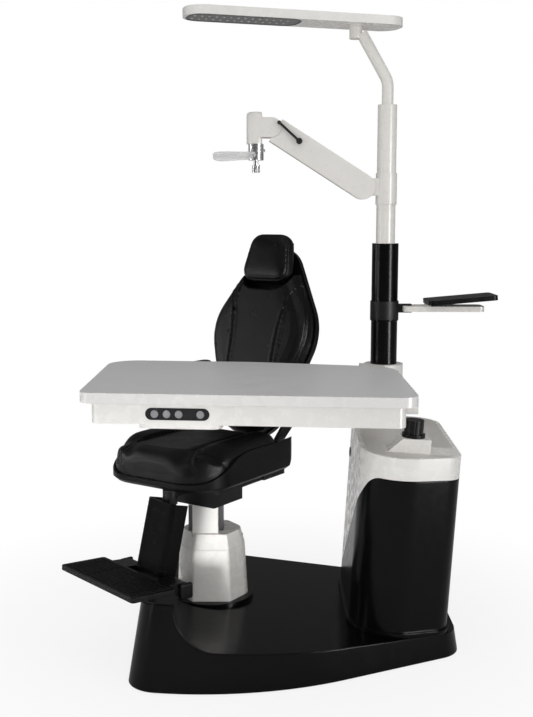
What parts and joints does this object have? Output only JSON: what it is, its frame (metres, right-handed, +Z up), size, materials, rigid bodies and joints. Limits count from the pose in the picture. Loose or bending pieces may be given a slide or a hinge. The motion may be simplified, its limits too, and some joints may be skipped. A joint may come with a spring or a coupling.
{
  "type": "ophthalmic examination chair",
  "caption": "Eye examination unit: lifting patient chair with footrest, instrument stand, swinging table, refractor arm, shelf and lamp on one base.",
  "frame": {"origin": "on the floor, on the axis of the chair's lift column, at the middle foot's underside", "axes": "+X towards the instrument stand, +Y away from the user, +Z up along the lift column"},
  "size_m": [1.332, 1.0663, 1.891],
  "materials": {
    "black_gloss": "semi-gloss moulded cover",
    "white_gloss": "gloss moulded cover",
    "grey_plastic": "satin",
    "black_plastic": "satin",
    "white_paint": "powder coat",
    "black_paint": "powder coat",
    "grey_paint": "powder coat",
    "cast": "painted casting",
    "steel": "brushed",
    "bright": "polished",
    "leather": "soft grain",
    "rubber": "ribbed",
    "board": "lacquered board",
    "laminate": "laminate sheet",
    "clear": "clear acrylic",
    "lens": "diffuser"
  },
  "bodies": {
    "base": {"base_plate": "steel", "levelling_feet": "rubber", "base_cover": "black_gloss", "lift_mast": "grey_paint", "lift_drive": "grey_paint", "column_cover_lower": "white_gloss", "column_cover_upper": "white_gloss", "cover_screws": "steel", "stand_frame": "grey_paint", "stand_lower_shell": "black_gloss", "stand_upper_shell": "white_gloss", "stand_lid": "grey_plastic", "side_socket": "black_plastic", "side_insert": "grey_plastic", "lower_pole": "black_paint", "upper_pole": "white_paint"},
    "lift": {"lift_column": "white_paint", "guide_rails": "black_paint", "drive_rod": "bright", "swivel_bearing": "steel"},
    "chair": {"seat_frame": "black_paint", "seat_shell": "black_plastic", "seat_cushion": "leather", "back_brackets": "black_paint", "hinge_pins": "steel"},
    "backrest": {"back_shell": "black_plastic", "back_cushion": "leather", "armrest_tube": "steel"},
    "headrest_support": {"headrest_posts": "bright"},
    "headrest": {"headrest_cushion": "leather"},
    "arm_left": {"left_armrest": "leather"},
    "arm_right": {"right_armrest": "leather"},
    "leg": {"leg_bracket": "black_paint", "leg_cover": "black_plastic", "footplate_pin": "steel"},
    "foot": {"footplate": "black_plastic", "footplate_mats": "rubber"},
    "table": {"table_hub": "cast", "table_tray": "white_gloss", "table_slab": "board", "table_surface": "laminate", "control_panel": "black_plastic"},
    "up_button": {"chair_up_button": "grey_plastic"},
    "down_button": {"chair_down_button": "grey_plastic"},
    "light_button": {"lamp_button": "grey_plastic"},
    "main_button": {"power_button": "grey_plastic"},
    "stand_knob": {"main_knob": "black_plastic"},
    "shelf": {"shelf_collar": "black_plastic", "shelf_bar": "white_gloss"},
    "pad": {"shelf_pad": "black_plastic"},
    "carriage": {"arm_carriage": "white_paint"},
    "arm": {"refractor_arm": "white_paint"},
    "head": {"arm_head": "white_paint"},
    "lever": {"tilt_lever": "black_plastic"},
    "holder": {"refractor_holder": "bright", "clear_plate": "clear"},
    "lock_knob": {"holder_knob": "steel"},
    "tube": {"lamp_tube": "white_paint"},
    "lamp": {"lamp_housing": "white_paint", "lamp_window": "lens"}
  },
  "joints": [
    {"name": "chair_lift", "type": "slide", "parent": "base", "child": "lift", "axis": [0, 0, 1], "range_m": [0, 0.17]},
    {"name": "chair_swivel", "type": "hinge", "parent": "lift", "child": "chair", "pos_m": [0, 0, 0.416], "axis": [0, 0, 1], "range_deg": [-2, 50]},
    {"name": "backrest_recline", "type": "hinge", "parent": "chair", "child": "backrest", "pos_m": [0.09059, 0.1343, 0.585], "axis": [-0.829, 0.5592, 0], "range_deg": [0, 50]},
    {"name": "headrest_height", "type": "slide", "parent": "backrest", "child": "headrest_support", "axis": [0.1588, 0.2355, 0.9588], "range_m": [0, 0.06]},
    {"name": "headrest_tilt", "type": "hinge", "parent": "headrest_support", "child": "headrest", "pos_m": [0.22562, 0.33449, 1.19598], "axis": [-0.829, 0.5592, 0], "range_deg": [0, 20]},
    {"name": "left_armrest_raise", "type": "hinge", "parent": "backrest", "child": "arm_left", "pos_m": [0.38998, 0.13109, 0.77503], "axis": [-0.829, 0.5592, 0], "range_deg": [0, 85]},
    {"name": "right_armrest_raise", "type": "hinge", "parent": "backrest", "child": "arm_right", "pos_m": [-0.02454, 0.41069, 0.77503], "axis": [-0.829, 0.5592, 0], "range_deg": [0, 85]},
    {"name": "footrest_swing", "type": "hinge", "parent": "chair", "child": "leg", "pos_m": [-0.09842, -0.14591, 0.462], "axis": [0, 0, 1], "range_deg": [-10, 30]},
    {"name": "footplate_fold", "type": "hinge", "parent": "leg", "child": "foot", "pos_m": [-0.14144, -0.18331, 0.226], "axis": [-0.6561, 0.7547, 0], "range_deg": [0, 35]},
    {"name": "table_swing", "type": "hinge", "parent": "base", "child": "table", "pos_m": [0.564, 0.196, 0.637], "axis": [0, 0, 1], "range_deg": [0, 75]},
    {"name": "chair_up_press", "type": "slide", "parent": "table", "child": "up_button", "axis": [0.0882, 0.9961, 0], "range_m": [0, 0.002], "stiffness_N_per_m": 600},
    {"name": "chair_down_press", "type": "slide", "parent": "table", "child": "down_button", "axis": [0.0882, 0.9961, 0], "range_m": [0, 0.002], "stiffness_N_per_m": 600},
    {"name": "lamp_press", "type": "slide", "parent": "table", "child": "light_button", "axis": [0.0882, 0.9961, 0], "range_m": [0, 0.002], "stiffness_N_per_m": 600},
    {"name": "power_press", "type": "slide", "parent": "table", "child": "main_button", "axis": [0.0882, 0.9961, 0], "range_m": [0, 0.002], "stiffness_N_per_m": 600},
    {"name": "stand_knob_turn", "type": "hinge", "parent": "base", "child": "stand_knob", "pos_m": [0.61305, -0.17341, 0.64892], "axis": [0.0593, -0.0384, 0.9975], "range_deg": [0, 300]},
    {"name": "shelf_swing", "type": "hinge", "parent": "base", "child": "shelf", "pos_m": [0.564, 0.196, 0.957], "axis": [0, 0, 1], "range_deg": [-60, 60]},
    {"name": "pad_tilt", "type": "hinge", "parent": "shelf", "child": "pad", "pos_m": [0.7025, 0.196, 1], "axis": [0, -1, 0], "range_deg": [0, 25]},
    {"name": "arm_swing", "type": "hinge", "parent": "base", "child": "carriage", "pos_m": [0.564, 0.196, 1.324], "axis": [0, 0, 1], "range_deg": [-12, 75]},
    {"name": "arm_raise", "type": "hinge", "parent": "carriage", "child": "arm", "pos_m": [0.489, 0.196, 1.375], "axis": [0, 1, 0], "range_deg": [-20, 8]},
    {"name": "head_level", "type": "hinge", "parent": "arm", "child": "head", "pos_m": [0.20108, 0.196, 1.55772], "axis": [0, 1, 0], "range_deg": [-8, 20]},
    {"name": "tilt_lever_turn", "type": "hinge", "parent": "arm", "child": "lever", "pos_m": [0.28706, 0.196, 1.515], "axis": [0, 1, 0], "range_deg": [-20, 30]},
    {"name": "holder_turn", "type": "hinge", "parent": "head", "child": "holder", "pos_m": [0.15208, 0.196, 1.50772], "axis": [0, 0, 1], "range_deg": [-60, 60]},
    {"name": "holder_knob_turn", "type": "hinge", "parent": "holder", "child": "lock_knob", "pos_m": [0.15208, 0.196, 1.44272], "axis": [0, 0, 1], "continuous": true},
    {"name": "lamp_tube_swing", "type": "hinge", "parent": "base", "child": "tube", "pos_m": [0.564, 0.196, 1.625], "axis": [0, 0, 1], "range_deg": [-45, 60]},
    {"name": "lamp_turn", "type": "hinge", "parent": "tube", "child": "lamp", "pos_m": [0.462, 0.196, 1.865], "axis": [0, 0, 1], "range_deg": [-50, 50]}
  ],
  "couplings": [
    {"joint": "head_level", "follows": "arm_raise", "ratio": -1}
  ]
}
